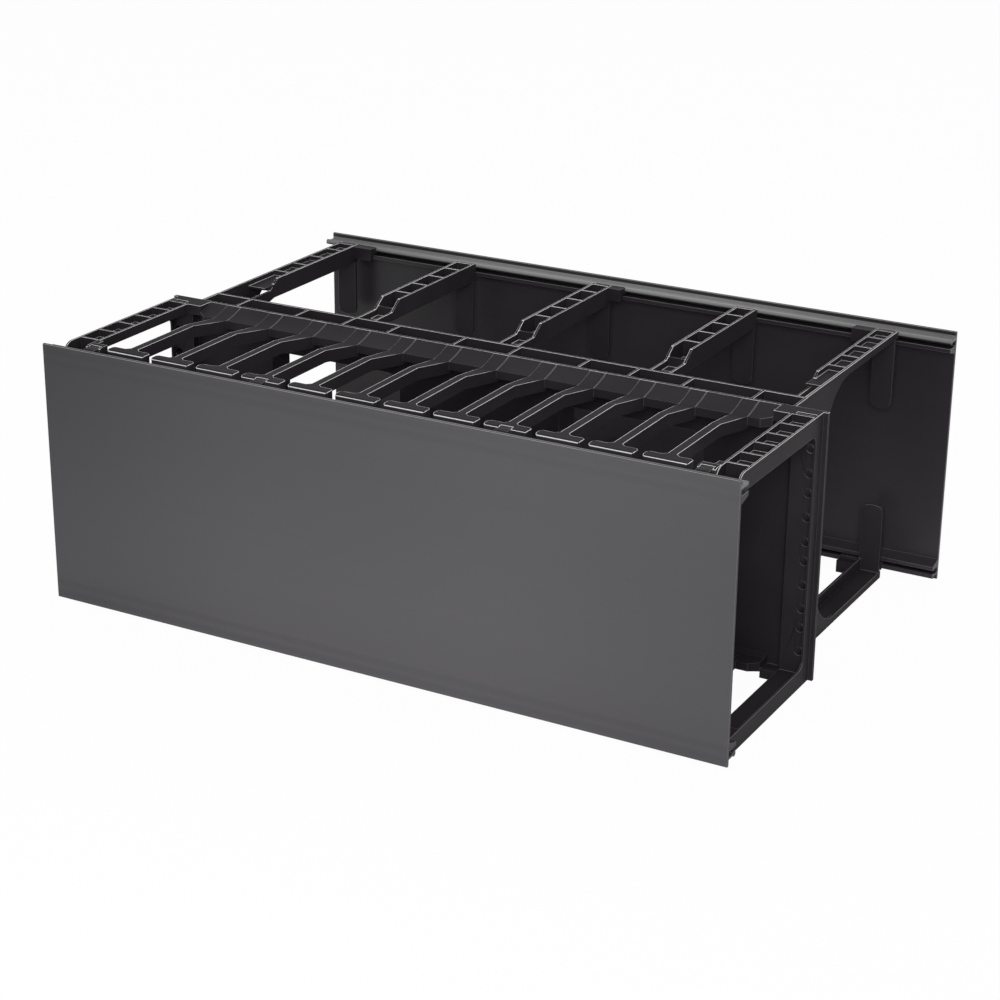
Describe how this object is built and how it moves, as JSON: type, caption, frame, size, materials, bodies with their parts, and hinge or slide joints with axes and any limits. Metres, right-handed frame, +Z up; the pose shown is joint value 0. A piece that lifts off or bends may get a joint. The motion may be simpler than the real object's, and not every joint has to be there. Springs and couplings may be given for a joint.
{
  "type": "horizontal cable manager",
  "caption": "Four-unit horizontal cable manager with front finger combs, rear bracket arms and a hinged cover on each side.",
  "frame": {"origin": "the centre of the rack hole pattern, in the plane of the rack rails' front", "axes": "+X across the rack to the right, +Y from the front to the rear, +Z up"},
  "size_m": [0.4968, 0.3269, 0.179],
  "materials": {
    "body_plastic": "near-black moulded plastic, satin to gloss",
    "cover_plastic": "charcoal extruded plastic, satin",
    "clip_plastic": "near-black moulded plastic"
  },
  "bodies": {
    "frame": {"front_lower_clip_left": "clip_plastic", "front_lower_clip_left_end": "clip_plastic", "front_lower_clip_right": "clip_plastic", "front_lower_clip_right_end": "clip_plastic", "front_upper_clip_left": "clip_plastic", "front_upper_clip_left_end": "clip_plastic", "front_upper_clip_right": "clip_plastic", "front_upper_clip_right_end": "clip_plastic", "lower_finger_comb": "body_plastic", "mounting_frame": "body_plastic", "rear_bracket_left_end": "body_plastic", "rear_bracket_right_end": "body_plastic", "rear_lower_arm_left": "body_plastic", "rear_lower_arm_middle": "body_plastic", "rear_lower_arm_right": "body_plastic", "rear_lower_clip_left": "clip_plastic", "rear_lower_clip_middle": "clip_plastic", "rear_lower_clip_right": "clip_plastic", "rear_upper_arm_left": "body_plastic", "rear_upper_arm_middle": "body_plastic", "rear_upper_arm_right": "body_plastic", "rear_upper_clip_left": "clip_plastic", "rear_upper_clip_middle": "clip_plastic", "rear_upper_clip_right": "clip_plastic", "upper_finger_comb": "body_plastic"},
    "front_cover": {"front_cover": "cover_plastic"},
    "rear_cover": {"rear_cover": "cover_plastic"}
  },
  "joints": [
    {"name": "front_cover_hinge", "type": "hinge", "parent": "frame", "child": "front_cover", "pos_m": [0, -0.1295, 0.08575], "axis": [-1, 0, 0], "range_deg": [0, 110]},
    {"name": "rear_cover_hinge", "type": "hinge", "parent": "frame", "child": "rear_cover", "pos_m": [0, 0.1776, 0.08575], "axis": [1, 0, 0], "range_deg": [0, 110]}
  ]
}
